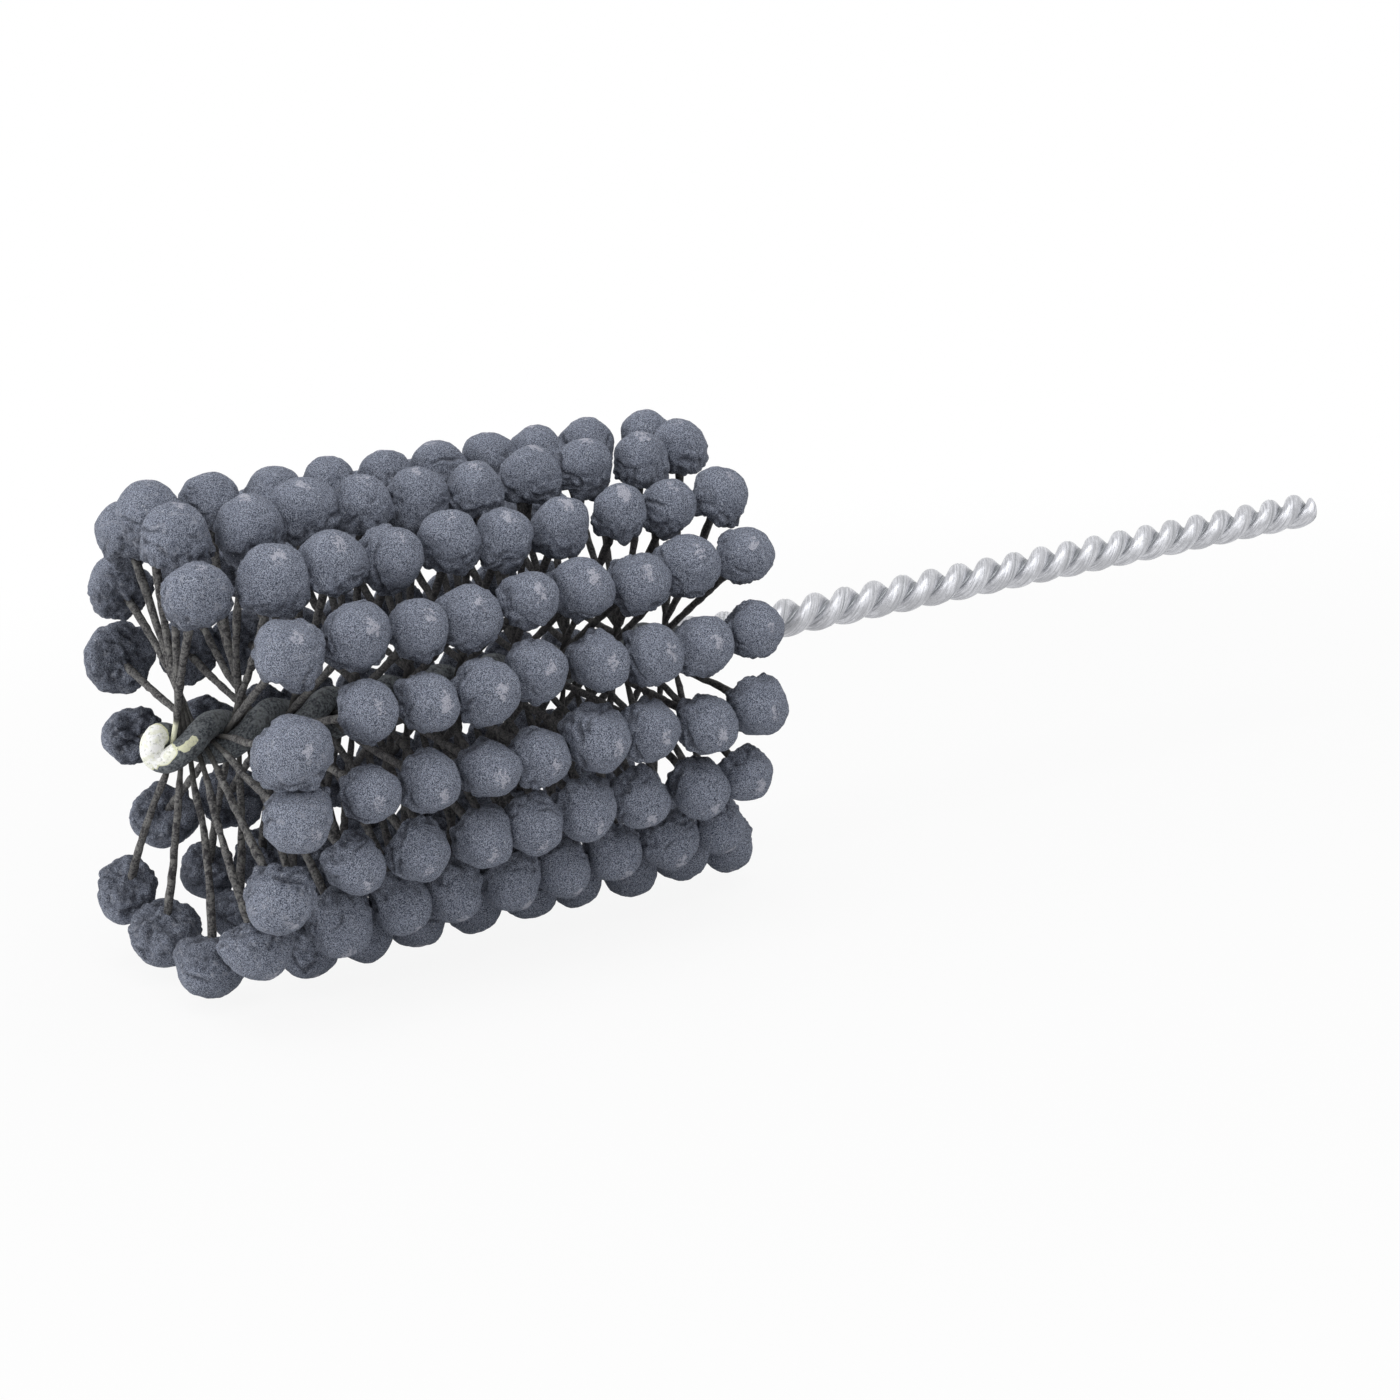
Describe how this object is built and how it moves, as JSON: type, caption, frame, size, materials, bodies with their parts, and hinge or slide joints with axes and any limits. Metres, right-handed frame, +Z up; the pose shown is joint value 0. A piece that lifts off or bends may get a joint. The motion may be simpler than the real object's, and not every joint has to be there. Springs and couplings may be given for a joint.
{
  "type": "flexible ball hone",
  "caption": "Flexible ball hone: abrasive globules on nylon filaments held in a twisted wire stem, for deburring and finishing a bore.",
  "frame": {"origin": "centre of the shank's cut end, on the tool axis", "axes": "+X along the tool axis out of the shank's end, +Z up as the hone lies on its brush"},
  "size_m": [0.2049, 0.0669, 0.0668],
  "materials": {
    "stem_steel": "galvanised, bright",
    "filament_nylon": "nylon under a thin abrasive coat",
    "globule_abrasive": "fine grit in resin, matt"
  },
  "bodies": {
    "stem": {"stem_wire": "stem_steel", "filament_set_1": "filament_nylon", "filament_set_2": "filament_nylon", "filament_set_3": "filament_nylon", "filament_set_4": "filament_nylon", "filament_set_5": "filament_nylon", "filament_set_6": "filament_nylon", "filament_set_7": "filament_nylon", "filament_set_8": "filament_nylon"},
    "row_01": {"globule_row_01": "globule_abrasive"},
    "row_02": {"globule_row_02": "globule_abrasive"},
    "row_03": {"globule_row_03": "globule_abrasive"},
    "row_04": {"globule_row_04": "globule_abrasive"},
    "row_05": {"globule_row_05": "globule_abrasive"},
    "row_06": {"globule_row_06": "globule_abrasive"},
    "row_07": {"globule_row_07": "globule_abrasive"},
    "row_08": {"globule_row_08": "globule_abrasive"},
    "row_09": {"globule_row_09": "globule_abrasive"},
    "row_10": {"globule_row_10": "globule_abrasive"},
    "row_11": {"globule_row_11": "globule_abrasive"},
    "row_12": {"globule_row_12": "globule_abrasive"},
    "row_13": {"globule_row_13": "globule_abrasive"},
    "row_14": {"globule_row_14": "globule_abrasive"},
    "row_15": {"globule_row_15": "globule_abrasive"},
    "row_16": {"globule_row_16": "globule_abrasive"}
  },
  "joints": [
    {"name": "row_01_flex", "type": "hinge", "parent": "stem", "child": "row_01", "pos_m": [-0.163, 0.00389, -0.00582], "axis": [1, 0, 0], "range_deg": [-35, 35], "stiffness_Nm_per_rad": 0.05, "deforming": ["filament_set_1"]},
    {"name": "row_02_flex", "type": "hinge", "parent": "stem", "child": "row_02", "pos_m": [-0.163, 0.00137, -0.00687], "axis": [1, 0, 0], "range_deg": [-35, 35], "stiffness_Nm_per_rad": 0.05, "deforming": ["filament_set_2"]},
    {"name": "row_03_flex", "type": "hinge", "parent": "stem", "child": "row_03", "pos_m": [-0.163, -0.00137, -0.00687], "axis": [1, 0, 0], "range_deg": [-35, 35], "stiffness_Nm_per_rad": 0.05, "deforming": ["filament_set_3"]},
    {"name": "row_04_flex", "type": "hinge", "parent": "stem", "child": "row_04", "pos_m": [-0.163, -0.00389, -0.00582], "axis": [1, 0, 0], "range_deg": [-35, 35], "stiffness_Nm_per_rad": 0.05, "deforming": ["filament_set_4"]},
    {"name": "row_05_flex", "type": "hinge", "parent": "stem", "child": "row_05", "pos_m": [-0.163, -0.00582, -0.00389], "axis": [1, 0, 0], "range_deg": [-35, 35], "stiffness_Nm_per_rad": 0.05, "deforming": ["filament_set_5"]},
    {"name": "row_06_flex", "type": "hinge", "parent": "stem", "child": "row_06", "pos_m": [-0.163, -0.00687, -0.00137], "axis": [1, 0, 0], "range_deg": [-35, 35], "stiffness_Nm_per_rad": 0.05, "deforming": ["filament_set_6"]},
    {"name": "row_07_flex", "type": "hinge", "parent": "stem", "child": "row_07", "pos_m": [-0.163, -0.00687, 0.00137], "axis": [1, 0, 0], "range_deg": [-35, 35], "stiffness_Nm_per_rad": 0.05, "deforming": ["filament_set_7"]},
    {"name": "row_08_flex", "type": "hinge", "parent": "stem", "child": "row_08", "pos_m": [-0.163, -0.00582, 0.00389], "axis": [1, 0, 0], "range_deg": [-35, 35], "stiffness_Nm_per_rad": 0.05, "deforming": ["filament_set_8"]},
    {"name": "row_09_flex", "type": "hinge", "parent": "stem", "child": "row_09", "pos_m": [-0.163, -0.00389, 0.00582], "axis": [1, 0, 0], "range_deg": [-35, 35], "stiffness_Nm_per_rad": 0.05, "deforming": ["filament_set_1"]},
    {"name": "row_10_flex", "type": "hinge", "parent": "stem", "child": "row_10", "pos_m": [-0.163, -0.00137, 0.00687], "axis": [1, 0, 0], "range_deg": [-35, 35], "stiffness_Nm_per_rad": 0.05, "deforming": ["filament_set_2"]},
    {"name": "row_11_flex", "type": "hinge", "parent": "stem", "child": "row_11", "pos_m": [-0.163, 0.00137, 0.00687], "axis": [1, 0, 0], "range_deg": [-35, 35], "stiffness_Nm_per_rad": 0.05, "deforming": ["filament_set_3"]},
    {"name": "row_12_flex", "type": "hinge", "parent": "stem", "child": "row_12", "pos_m": [-0.163, 0.00389, 0.00582], "axis": [1, 0, 0], "range_deg": [-35, 35], "stiffness_Nm_per_rad": 0.05, "deforming": ["filament_set_4"]},
    {"name": "row_13_flex", "type": "hinge", "parent": "stem", "child": "row_13", "pos_m": [-0.163, 0.00582, 0.00389], "axis": [1, 0, 0], "range_deg": [-35, 35], "stiffness_Nm_per_rad": 0.05, "deforming": ["filament_set_5"]},
    {"name": "row_14_flex", "type": "hinge", "parent": "stem", "child": "row_14", "pos_m": [-0.163, 0.00687, 0.00137], "axis": [1, 0, 0], "range_deg": [-35, 35], "stiffness_Nm_per_rad": 0.05, "deforming": ["filament_set_6"]},
    {"name": "row_15_flex", "type": "hinge", "parent": "stem", "child": "row_15", "pos_m": [-0.163, 0.00687, -0.00137], "axis": [1, 0, 0], "range_deg": [-35, 35], "stiffness_Nm_per_rad": 0.05, "deforming": ["filament_set_7"]},
    {"name": "row_16_flex", "type": "hinge", "parent": "stem", "child": "row_16", "pos_m": [-0.163, 0.00582, -0.00389], "axis": [1, 0, 0], "range_deg": [-35, 35], "stiffness_Nm_per_rad": 0.05, "deforming": ["filament_set_8"]}
  ],
  "couplings": [
    {"joint": "row_02_flex", "follows": "row_01_flex", "ratio": 1},
    {"joint": "row_03_flex", "follows": "row_01_flex", "ratio": 1},
    {"joint": "row_04_flex", "follows": "row_01_flex", "ratio": 1},
    {"joint": "row_05_flex", "follows": "row_01_flex", "ratio": 1},
    {"joint": "row_06_flex", "follows": "row_01_flex", "ratio": 1},
    {"joint": "row_07_flex", "follows": "row_01_flex", "ratio": 1},
    {"joint": "row_08_flex", "follows": "row_01_flex", "ratio": 1},
    {"joint": "row_09_flex", "follows": "row_01_flex", "ratio": 1},
    {"joint": "row_10_flex", "follows": "row_01_flex", "ratio": 1},
    {"joint": "row_11_flex", "follows": "row_01_flex", "ratio": 1},
    {"joint": "row_12_flex", "follows": "row_01_flex", "ratio": 1},
    {"joint": "row_13_flex", "follows": "row_01_flex", "ratio": 1},
    {"joint": "row_14_flex", "follows": "row_01_flex", "ratio": 1},
    {"joint": "row_15_flex", "follows": "row_01_flex", "ratio": 1},
    {"joint": "row_16_flex", "follows": "row_01_flex", "ratio": 1}
  ]
}
